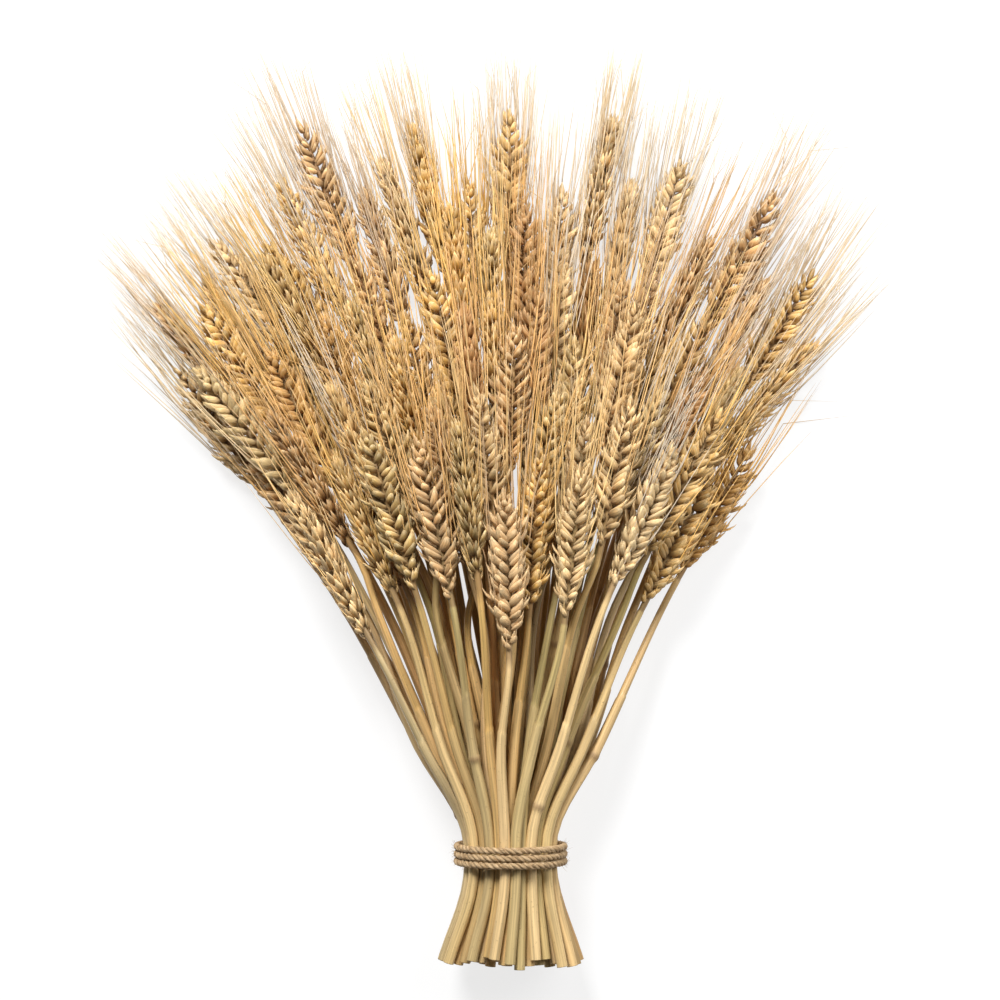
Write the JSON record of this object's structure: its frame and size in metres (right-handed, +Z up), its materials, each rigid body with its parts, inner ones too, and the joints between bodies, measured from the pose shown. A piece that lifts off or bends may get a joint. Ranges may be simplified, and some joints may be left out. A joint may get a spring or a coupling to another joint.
{
  "type": "dried wheat bundle",
  "caption": "Dried bearded wheat bundle lying flat: straw stems tied round the waist, ears of overlapping spikelets fanned out, long straight awns.",
  "frame": {"origin": "the middle of the flat on the underside of the tie, where the bundle's waist rests on the surface", "axes": "+X across the bundle, to the right seen from above with the heads at the top; +Y along the bundle from the tie to the heads; +Z up"},
  "size_m": [0.366, 0.4138, 0.0836],
  "materials": {
    "straw_gold": "satin",
    "straw_tan": "satin",
    "straw_cream": "satin",
    "straw_khaki": "satin",
    "twine": "matte"
  },
  "bodies": {
    "root": {"stalk_01": "straw_gold", "stalk_02": "straw_gold", "stalk_04": "straw_tan", "stalk_05": "straw_khaki", "stalk_07": "straw_cream", "stalk_08": "straw_khaki", "stalk_09": "straw_gold", "stalk_12": "straw_khaki", "stalk_13": "straw_cream", "stalk_16": "straw_gold", "stalk_17": "straw_tan", "stalk_25": "straw_cream", "stalk_26": "straw_gold", "stalk_32": "straw_gold", "stalk_37": "straw_khaki", "stalk_38": "straw_gold", "stalk_39": "straw_tan", "stalk_40": "straw_cream", "stalk_41": "straw_gold", "stalk_42": "straw_tan", "stalk_43": "straw_tan", "stalk_44": "straw_khaki", "stalk_45": "straw_tan", "stalk_46": "straw_cream", "stalk_49": "straw_khaki", "stalk_50": "straw_gold", "stalk_53": "straw_gold", "stalk_54": "straw_tan", "stalk_55": "straw_khaki", "stalk_56": "straw_tan", "stalk_57": "straw_cream", "stalk_60": "straw_cream", "stalk_61": "straw_gold", "stalk_62": "straw_cream", "stalk_63": "straw_cream", "stalk_64": "straw_tan", "stalk_65": "straw_gold", "stalk_66": "straw_tan", "stalk_67": "straw_tan", "stalk_68": "straw_gold", "stalk_69": "straw_cream", "stalk_70": "straw_tan", "stalk_71": "straw_gold", "stalk_72": "straw_gold", "stalk_73": "straw_gold", "stalks_03_10": "straw_gold", "stalks_06_11": "straw_tan", "stalks_14_21": "straw_gold", "stalks_15_24": "straw_tan", "stalks_18_27": "straw_khaki", "stalks_19_30": "straw_tan", "stalks_20_22": "straw_khaki", "stalks_23_47": "straw_khaki", "stalks_28_52": "straw_cream", "stalks_29_31": "straw_khaki", "stalks_33_48": "straw_gold", "stalks_34_58": "straw_tan", "stalks_35_59": "straw_cream", "stalks_36_51": "straw_cream", "tie": "twine"}
  },
  "joints": []
}
